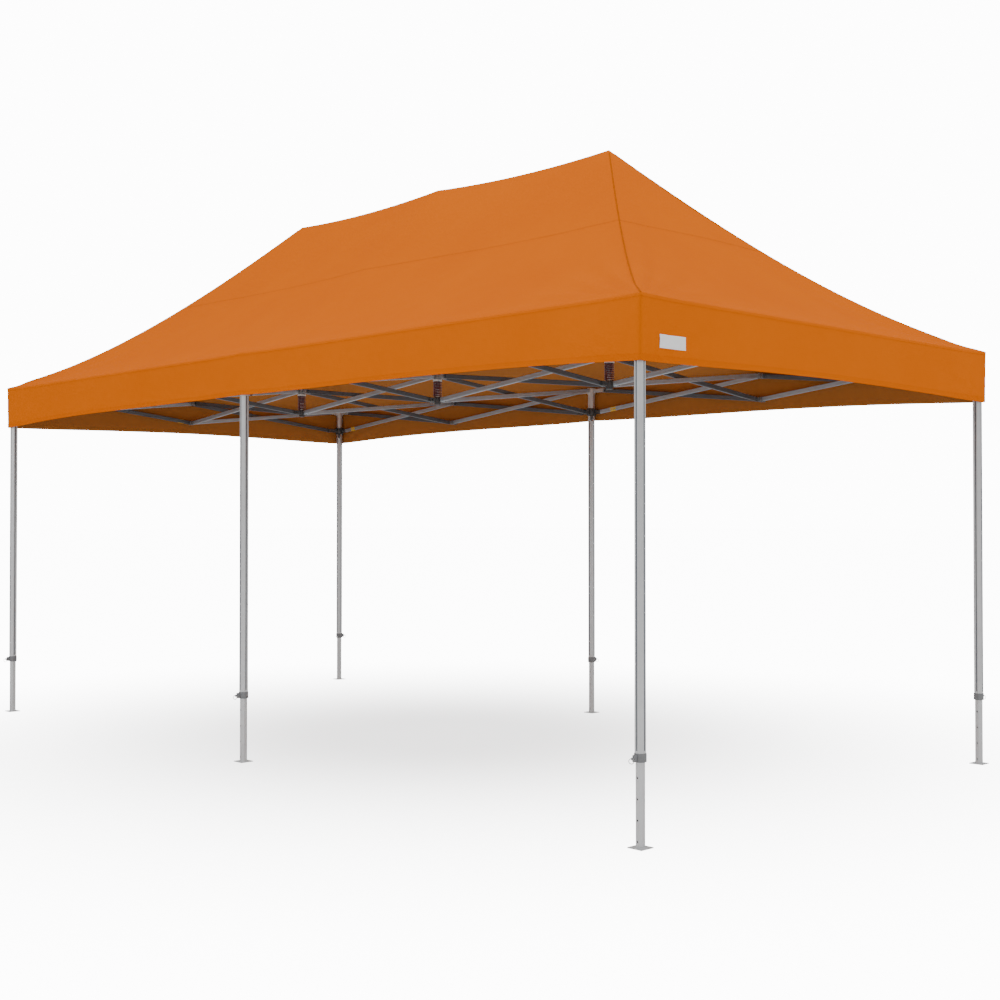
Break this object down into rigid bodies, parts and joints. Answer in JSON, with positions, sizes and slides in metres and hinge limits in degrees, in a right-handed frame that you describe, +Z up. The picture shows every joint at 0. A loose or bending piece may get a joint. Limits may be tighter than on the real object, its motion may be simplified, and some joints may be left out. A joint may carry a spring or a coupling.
{
  "type": "folding canopy shelter",
  "caption": "Folding rectangular shelter: a fabric hip roof with peaks and a straight valance over a scissor-truss frame on telescopic legs.",
  "frame": {"origin": "on the ground under the middle of the roof, at the bottom centre of the bounding box", "axes": "+X along the long side, +Y across the short side, +Z up"},
  "size_m": [5.918, 2.998, 3.474],
  "materials": {
    "roof_cloth": "woven coated polyester, matt",
    "truss_bar": "satin anodised, fine lengthwise ribs",
    "leg_tube": "satin anodised",
    "inner_tube": "satin anodised",
    "pole_tube": "satin anodised",
    "hub_plastic": "moulded, fine grain",
    "slider_plastic": "moulded, fine grain"
  },
  "bodies": {
    "roof_hub": {"hub_upper_mid": "hub_plastic", "canopy": "roof_cloth"},
    "ridge_bar_2a": {"ridge_bar_2a": "truss_bar"},
    "ridge_bar_2b": {"ridge_bar_2b": "truss_bar"},
    "hub_lower_mid": {"hub_lower_mid": "hub_plastic", "peak_pole_mid": "pole_tube"},
    "hub_upper_right": {"hub_upper_right": "hub_plastic"},
    "hub_lower_right": {"hub_lower_right": "hub_plastic", "peak_pole_right": "pole_tube"},
    "cross_bar_1a": {"cross_bar_1a": "truss_bar"},
    "cross_bar_1b": {"cross_bar_1b": "truss_bar"},
    "leg_front_mid": {"leg_front_mid": "leg_tube"},
    "slider_front_mid": {"slider_front_mid": "slider_plastic"},
    "cross_bar_2a": {"cross_bar_2a": "truss_bar"},
    "cross_bar_2b": {"cross_bar_2b": "truss_bar"},
    "leg_back_mid": {"leg_back_mid": "leg_tube"},
    "slider_back_mid": {"slider_back_mid": "slider_plastic"},
    "ridge_bar_1a": {"ridge_bar_1a": "truss_bar"},
    "ridge_bar_1b": {"ridge_bar_1b": "truss_bar"},
    "hub_upper_left": {"hub_upper_left": "hub_plastic"},
    "hub_lower_left": {"hub_lower_left": "hub_plastic", "peak_pole_left": "pole_tube"},
    "front_bar_2a": {"front_bar_2a": "truss_bar"},
    "front_bar_2b": {"front_bar_2b": "truss_bar"},
    "front_bar_1a": {"front_bar_1a": "truss_bar"},
    "front_bar_1b": {"front_bar_1b": "truss_bar"},
    "leg_front_left": {"leg_front_left": "leg_tube"},
    "slider_front_left": {"slider_front_left": "slider_plastic"},
    "front_bar_3a": {"front_bar_3a": "truss_bar"},
    "front_bar_3b": {"front_bar_3b": "truss_bar"},
    "front_bar_4a": {"front_bar_4a": "truss_bar"},
    "front_bar_4b": {"front_bar_4b": "truss_bar"},
    "leg_front_right": {"leg_front_right": "leg_tube"},
    "slider_front_right": {"slider_front_right": "slider_plastic"},
    "back_bar_2a": {"back_bar_2a": "truss_bar"},
    "back_bar_2b": {"back_bar_2b": "truss_bar"},
    "back_bar_1a": {"back_bar_1a": "truss_bar"},
    "back_bar_1b": {"back_bar_1b": "truss_bar"},
    "leg_back_left": {"leg_back_left": "leg_tube"},
    "slider_back_left": {"slider_back_left": "slider_plastic"},
    "back_bar_3a": {"back_bar_3a": "truss_bar"},
    "back_bar_3b": {"back_bar_3b": "truss_bar"},
    "back_bar_4a": {"back_bar_4a": "truss_bar"},
    "back_bar_4b": {"back_bar_4b": "truss_bar"},
    "leg_back_right": {"leg_back_right": "leg_tube"},
    "slider_back_right": {"slider_back_right": "slider_plastic"},
    "left_bar_1a": {"left_bar_1a": "truss_bar"},
    "left_bar_1b": {"left_bar_1b": "truss_bar"},
    "left_bar_2a": {"left_bar_2a": "truss_bar"},
    "left_bar_2b": {"left_bar_2b": "truss_bar"},
    "right_bar_1a": {"right_bar_1a": "truss_bar"},
    "right_bar_1b": {"right_bar_1b": "truss_bar"},
    "right_bar_2a": {"right_bar_2a": "truss_bar"},
    "right_bar_2b": {"right_bar_2b": "truss_bar"},
    "inner_leg_front_left": {"inner_leg_front_left": "inner_tube"},
    "inner_leg_front_mid": {"inner_leg_front_mid": "inner_tube"},
    "inner_leg_front_right": {"inner_leg_front_right": "inner_tube"},
    "inner_leg_back_left": {"inner_leg_back_left": "inner_tube"},
    "inner_leg_back_mid": {"inner_leg_back_mid": "inner_tube"},
    "inner_leg_back_right": {"inner_leg_back_right": "inner_tube"}
  },
  "joints": [
    {"name": "fold", "type": "hinge", "parent": "roof_hub", "child": "ridge_bar_2a", "pos_m": [0.054, 0, 2.28], "axis": [0, 1, 0], "range_deg": [0, 80], "deforming": ["canopy"]},
    {"name": "ridge_bar_2b_cross", "type": "hinge", "parent": "ridge_bar_2a", "child": "ridge_bar_2b", "pos_m": [0.73, 0, 2.205], "axis": [0, 1, 0], "range_deg": [-160, 0]},
    {"name": "hub_lower_mid_pivot", "type": "hinge", "parent": "ridge_bar_2b", "child": "hub_lower_mid", "pos_m": [0.054, 0, 2.13], "axis": [0, 1, 0], "range_deg": [0, 80]},
    {"name": "hub_upper_right_pivot", "type": "hinge", "parent": "ridge_bar_2b", "child": "hub_upper_right", "pos_m": [1.406, 0, 2.28], "axis": [0, 1, 0], "range_deg": [0, 80]},
    {"name": "hub_lower_right_pivot", "type": "hinge", "parent": "ridge_bar_2a", "child": "hub_lower_right", "pos_m": [1.406, 0, 2.13], "axis": [0, 1, 0], "range_deg": [-80, 0]},
    {"name": "cross_bar_1a_pivot", "type": "hinge", "parent": "roof_hub", "child": "cross_bar_1a", "pos_m": [0, -0.054, 2.28], "axis": [1, 0, 0], "range_deg": [0, 80]},
    {"name": "cross_bar_1b_cross", "type": "hinge", "parent": "cross_bar_1a", "child": "cross_bar_1b", "pos_m": [0, -0.73, 2.205], "axis": [1, 0, 0], "range_deg": [-160, 0]},
    {"name": "leg_front_mid_pivot", "type": "hinge", "parent": "cross_bar_1b", "child": "leg_front_mid", "pos_m": [0, -1.406, 2.28], "axis": [1, 0, 0], "range_deg": [0, 80]},
    {"name": "slider_front_mid_pivot", "type": "hinge", "parent": "cross_bar_1a", "child": "slider_front_mid", "pos_m": [0, -1.406, 2.13], "axis": [1, 0, 0], "range_deg": [-80, 0]},
    {"name": "cross_bar_2a_pivot", "type": "hinge", "parent": "roof_hub", "child": "cross_bar_2a", "pos_m": [0, 0.054, 2.28], "axis": [-1, 0, 0], "range_deg": [0, 80]},
    {"name": "cross_bar_2b_cross", "type": "hinge", "parent": "cross_bar_2a", "child": "cross_bar_2b", "pos_m": [0, 0.73, 2.205], "axis": [-1, 0, 0], "range_deg": [-160, 0]},
    {"name": "leg_back_mid_pivot", "type": "hinge", "parent": "cross_bar_2b", "child": "leg_back_mid", "pos_m": [0, 1.406, 2.28], "axis": [-1, 0, 0], "range_deg": [0, 80]},
    {"name": "slider_back_mid_pivot", "type": "hinge", "parent": "cross_bar_2a", "child": "slider_back_mid", "pos_m": [0, 1.406, 2.13], "axis": [-1, 0, 0], "range_deg": [-80, 0]},
    {"name": "ridge_bar_1a_pivot", "type": "hinge", "parent": "roof_hub", "child": "ridge_bar_1a", "pos_m": [-0.054, 0, 2.28], "axis": [0, -1, 0], "range_deg": [0, 80]},
    {"name": "ridge_bar_1b_cross", "type": "hinge", "parent": "ridge_bar_1a", "child": "ridge_bar_1b", "pos_m": [-0.73, 0, 2.205], "axis": [0, -1, 0], "range_deg": [-160, 0]},
    {"name": "hub_upper_left_pivot", "type": "hinge", "parent": "ridge_bar_1b", "child": "hub_upper_left", "pos_m": [-1.406, 0, 2.28], "axis": [0, -1, 0], "range_deg": [0, 80]},
    {"name": "hub_lower_left_pivot", "type": "hinge", "parent": "ridge_bar_1a", "child": "hub_lower_left", "pos_m": [-1.406, 0, 2.13], "axis": [0, -1, 0], "range_deg": [-80, 0]},
    {"name": "front_bar_2a_pivot", "type": "hinge", "parent": "leg_front_mid", "child": "front_bar_2a", "pos_m": [-0.108, -1.46, 2.28], "axis": [0, -1, 0], "range_deg": [0, 80]},
    {"name": "front_bar_2b_cross", "type": "hinge", "parent": "front_bar_2a", "child": "front_bar_2b", "pos_m": [-0.784, -1.46, 2.205], "axis": [0, -1, 0], "range_deg": [-160, 0]},
    {"name": "front_bar_1a_pivot", "type": "hinge", "parent": "front_bar_2b", "child": "front_bar_1a", "pos_m": [-1.46, -1.46, 2.28], "axis": [0, -1, 0], "range_deg": [0, 160]},
    {"name": "front_bar_1b_cross", "type": "hinge", "parent": "front_bar_1a", "child": "front_bar_1b", "pos_m": [-2.136, -1.46, 2.205], "axis": [0, -1, 0], "range_deg": [-160, 0]},
    {"name": "leg_front_left_pivot", "type": "hinge", "parent": "front_bar_1b", "child": "leg_front_left", "pos_m": [-2.812, -1.46, 2.28], "axis": [0, -1, 0], "range_deg": [0, 80]},
    {"name": "slider_front_left_pivot", "type": "hinge", "parent": "front_bar_1a", "child": "slider_front_left", "pos_m": [-2.812, -1.46, 2.13], "axis": [0, -1, 0], "range_deg": [-80, 0]},
    {"name": "front_bar_3a_pivot", "type": "hinge", "parent": "leg_front_mid", "child": "front_bar_3a", "pos_m": [0.108, -1.46, 2.28], "axis": [0, 1, 0], "range_deg": [0, 80]},
    {"name": "front_bar_3b_cross", "type": "hinge", "parent": "front_bar_3a", "child": "front_bar_3b", "pos_m": [0.784, -1.46, 2.205], "axis": [0, 1, 0], "range_deg": [-160, 0]},
    {"name": "front_bar_4a_pivot", "type": "hinge", "parent": "front_bar_3b", "child": "front_bar_4a", "pos_m": [1.46, -1.46, 2.28], "axis": [0, 1, 0], "range_deg": [0, 160]},
    {"name": "front_bar_4b_cross", "type": "hinge", "parent": "front_bar_4a", "child": "front_bar_4b", "pos_m": [2.136, -1.46, 2.205], "axis": [0, 1, 0], "range_deg": [-160, 0]},
    {"name": "leg_front_right_pivot", "type": "hinge", "parent": "front_bar_4b", "child": "leg_front_right", "pos_m": [2.812, -1.46, 2.28], "axis": [0, 1, 0], "range_deg": [0, 80]},
    {"name": "slider_front_right_pivot", "type": "hinge", "parent": "front_bar_4a", "child": "slider_front_right", "pos_m": [2.812, -1.46, 2.13], "axis": [0, 1, 0], "range_deg": [-80, 0]},
    {"name": "back_bar_2a_pivot", "type": "hinge", "parent": "leg_back_mid", "child": "back_bar_2a", "pos_m": [-0.108, 1.46, 2.28], "axis": [0, -1, 0], "range_deg": [0, 80]},
    {"name": "back_bar_2b_cross", "type": "hinge", "parent": "back_bar_2a", "child": "back_bar_2b", "pos_m": [-0.784, 1.46, 2.205], "axis": [0, -1, 0], "range_deg": [-160, 0]},
    {"name": "back_bar_1a_pivot", "type": "hinge", "parent": "back_bar_2b", "child": "back_bar_1a", "pos_m": [-1.46, 1.46, 2.28], "axis": [0, -1, 0], "range_deg": [0, 160]},
    {"name": "back_bar_1b_cross", "type": "hinge", "parent": "back_bar_1a", "child": "back_bar_1b", "pos_m": [-2.136, 1.46, 2.205], "axis": [0, -1, 0], "range_deg": [-160, 0]},
    {"name": "leg_back_left_pivot", "type": "hinge", "parent": "back_bar_1b", "child": "leg_back_left", "pos_m": [-2.812, 1.46, 2.28], "axis": [0, -1, 0], "range_deg": [0, 80]},
    {"name": "slider_back_left_pivot", "type": "hinge", "parent": "back_bar_1a", "child": "slider_back_left", "pos_m": [-2.812, 1.46, 2.13], "axis": [0, -1, 0], "range_deg": [-80, 0]},
    {"name": "back_bar_3a_pivot", "type": "hinge", "parent": "leg_back_mid", "child": "back_bar_3a", "pos_m": [0.108, 1.46, 2.28], "axis": [0, 1, 0], "range_deg": [0, 80]},
    {"name": "back_bar_3b_cross", "type": "hinge", "parent": "back_bar_3a", "child": "back_bar_3b", "pos_m": [0.784, 1.46, 2.205], "axis": [0, 1, 0], "range_deg": [-160, 0]},
    {"name": "back_bar_4a_pivot", "type": "hinge", "parent": "back_bar_3b", "child": "back_bar_4a", "pos_m": [1.46, 1.46, 2.28], "axis": [0, 1, 0], "range_deg": [0, 160]},
    {"name": "back_bar_4b_cross", "type": "hinge", "parent": "back_bar_4a", "child": "back_bar_4b", "pos_m": [2.136, 1.46, 2.205], "axis": [0, 1, 0], "range_deg": [-160, 0]},
    {"name": "leg_back_right_pivot", "type": "hinge", "parent": "back_bar_4b", "child": "leg_back_right", "pos_m": [2.812, 1.46, 2.28], "axis": [0, 1, 0], "range_deg": [0, 80]},
    {"name": "slider_back_right_pivot", "type": "hinge", "parent": "back_bar_4a", "child": "slider_back_right", "pos_m": [2.812, 1.46, 2.13], "axis": [0, 1, 0], "range_deg": [-80, 0]},
    {"name": "left_bar_1a_pivot", "type": "hinge", "parent": "leg_front_left", "child": "left_bar_1a", "pos_m": [-2.92, -1.352, 2.28], "axis": [-1, 0, 0], "range_deg": [0, 80]},
    {"name": "left_bar_1b_cross", "type": "hinge", "parent": "left_bar_1a", "child": "left_bar_1b", "pos_m": [-2.92, -0.676, 2.205], "axis": [-1, 0, 0], "range_deg": [-160, 0]},
    {"name": "left_bar_2a_pivot", "type": "hinge", "parent": "left_bar_1b", "child": "left_bar_2a", "pos_m": [-2.92, 0, 2.28], "axis": [-1, 0, 0], "range_deg": [0, 160]},
    {"name": "left_bar_2b_cross", "type": "hinge", "parent": "left_bar_2a", "child": "left_bar_2b", "pos_m": [-2.92, 0.676, 2.205], "axis": [-1, 0, 0], "range_deg": [-160, 0]},
    {"name": "right_bar_1a_pivot", "type": "hinge", "parent": "leg_front_right", "child": "right_bar_1a", "pos_m": [2.92, -1.352, 2.28], "axis": [-1, 0, 0], "range_deg": [0, 80]},
    {"name": "right_bar_1b_cross", "type": "hinge", "parent": "right_bar_1a", "child": "right_bar_1b", "pos_m": [2.92, -0.676, 2.205], "axis": [-1, 0, 0], "range_deg": [-160, 0]},
    {"name": "right_bar_2a_pivot", "type": "hinge", "parent": "right_bar_1b", "child": "right_bar_2a", "pos_m": [2.92, 0, 2.28], "axis": [-1, 0, 0], "range_deg": [0, 160]},
    {"name": "right_bar_2b_cross", "type": "hinge", "parent": "right_bar_2a", "child": "right_bar_2b", "pos_m": [2.92, 0.676, 2.205], "axis": [-1, 0, 0], "range_deg": [-160, 0]},
    {"name": "height_front_left", "type": "slide", "parent": "leg_front_left", "child": "inner_leg_front_left", "axis": [0, 0, 1], "range_m": [0, 0.264]},
    {"name": "height_front_mid", "type": "slide", "parent": "leg_front_mid", "child": "inner_leg_front_mid", "axis": [0, 0, 1], "range_m": [0, 0.264]},
    {"name": "height_front_right", "type": "slide", "parent": "leg_front_right", "child": "inner_leg_front_right", "axis": [0, 0, 1], "range_m": [0, 0.264]},
    {"name": "height_back_left", "type": "slide", "parent": "leg_back_left", "child": "inner_leg_back_left", "axis": [0, 0, 1], "range_m": [0, 0.264]},
    {"name": "height_back_mid", "type": "slide", "parent": "leg_back_mid", "child": "inner_leg_back_mid", "axis": [0, 0, 1], "range_m": [0, 0.264]},
    {"name": "height_back_right", "type": "slide", "parent": "leg_back_right", "child": "inner_leg_back_right", "axis": [0, 0, 1], "range_m": [0, 0.264]}
  ],
  "couplings": [
    {"joint": "ridge_bar_2b_cross", "follows": "fold", "ratio": -2},
    {"joint": "hub_lower_mid_pivot", "follows": "fold", "ratio": 1},
    {"joint": "hub_upper_right_pivot", "follows": "fold", "ratio": 1},
    {"joint": "hub_lower_right_pivot", "follows": "fold", "ratio": -1},
    {"joint": "cross_bar_1a_pivot", "follows": "fold", "ratio": 1},
    {"joint": "cross_bar_1b_cross", "follows": "fold", "ratio": -2},
    {"joint": "leg_front_mid_pivot", "follows": "fold", "ratio": 1},
    {"joint": "slider_front_mid_pivot", "follows": "fold", "ratio": -1},
    {"joint": "cross_bar_2a_pivot", "follows": "fold", "ratio": 1},
    {"joint": "cross_bar_2b_cross", "follows": "fold", "ratio": -2},
    {"joint": "leg_back_mid_pivot", "follows": "fold", "ratio": 1},
    {"joint": "slider_back_mid_pivot", "follows": "fold", "ratio": -1},
    {"joint": "ridge_bar_1a_pivot", "follows": "fold", "ratio": 1},
    {"joint": "ridge_bar_1b_cross", "follows": "fold", "ratio": -2},
    {"joint": "hub_upper_left_pivot", "follows": "fold", "ratio": 1},
    {"joint": "hub_lower_left_pivot", "follows": "fold", "ratio": -1},
    {"joint": "front_bar_2a_pivot", "follows": "fold", "ratio": 1},
    {"joint": "front_bar_2b_cross", "follows": "fold", "ratio": -2},
    {"joint": "front_bar_1a_pivot", "follows": "fold", "ratio": 2},
    {"joint": "front_bar_1b_cross", "follows": "fold", "ratio": -2},
    {"joint": "leg_front_left_pivot", "follows": "fold", "ratio": 1},
    {"joint": "slider_front_left_pivot", "follows": "fold", "ratio": -1},
    {"joint": "front_bar_3a_pivot", "follows": "fold", "ratio": 1},
    {"joint": "front_bar_3b_cross", "follows": "fold", "ratio": -2},
    {"joint": "front_bar_4a_pivot", "follows": "fold", "ratio": 2},
    {"joint": "front_bar_4b_cross", "follows": "fold", "ratio": -2},
    {"joint": "leg_front_right_pivot", "follows": "fold", "ratio": 1},
    {"joint": "slider_front_right_pivot", "follows": "fold", "ratio": -1},
    {"joint": "back_bar_2a_pivot", "follows": "fold", "ratio": 1},
    {"joint": "back_bar_2b_cross", "follows": "fold", "ratio": -2},
    {"joint": "back_bar_1a_pivot", "follows": "fold", "ratio": 2},
    {"joint": "back_bar_1b_cross", "follows": "fold", "ratio": -2},
    {"joint": "leg_back_left_pivot", "follows": "fold", "ratio": 1},
    {"joint": "slider_back_left_pivot", "follows": "fold", "ratio": -1},
    {"joint": "back_bar_3a_pivot", "follows": "fold", "ratio": 1},
    {"joint": "back_bar_3b_cross", "follows": "fold", "ratio": -2},
    {"joint": "back_bar_4a_pivot", "follows": "fold", "ratio": 2},
    {"joint": "back_bar_4b_cross", "follows": "fold", "ratio": -2},
    {"joint": "leg_back_right_pivot", "follows": "fold", "ratio": 1},
    {"joint": "slider_back_right_pivot", "follows": "fold", "ratio": -1},
    {"joint": "left_bar_1a_pivot", "follows": "fold", "ratio": 1},
    {"joint": "left_bar_1b_cross", "follows": "fold", "ratio": -2},
    {"joint": "left_bar_2a_pivot", "follows": "fold", "ratio": 2},
    {"joint": "left_bar_2b_cross", "follows": "fold", "ratio": -2},
    {"joint": "right_bar_1a_pivot", "follows": "fold", "ratio": 1},
    {"joint": "right_bar_1b_cross", "follows": "fold", "ratio": -2},
    {"joint": "right_bar_2a_pivot", "follows": "fold", "ratio": 2},
    {"joint": "right_bar_2b_cross", "follows": "fold", "ratio": -2}
  ]
}
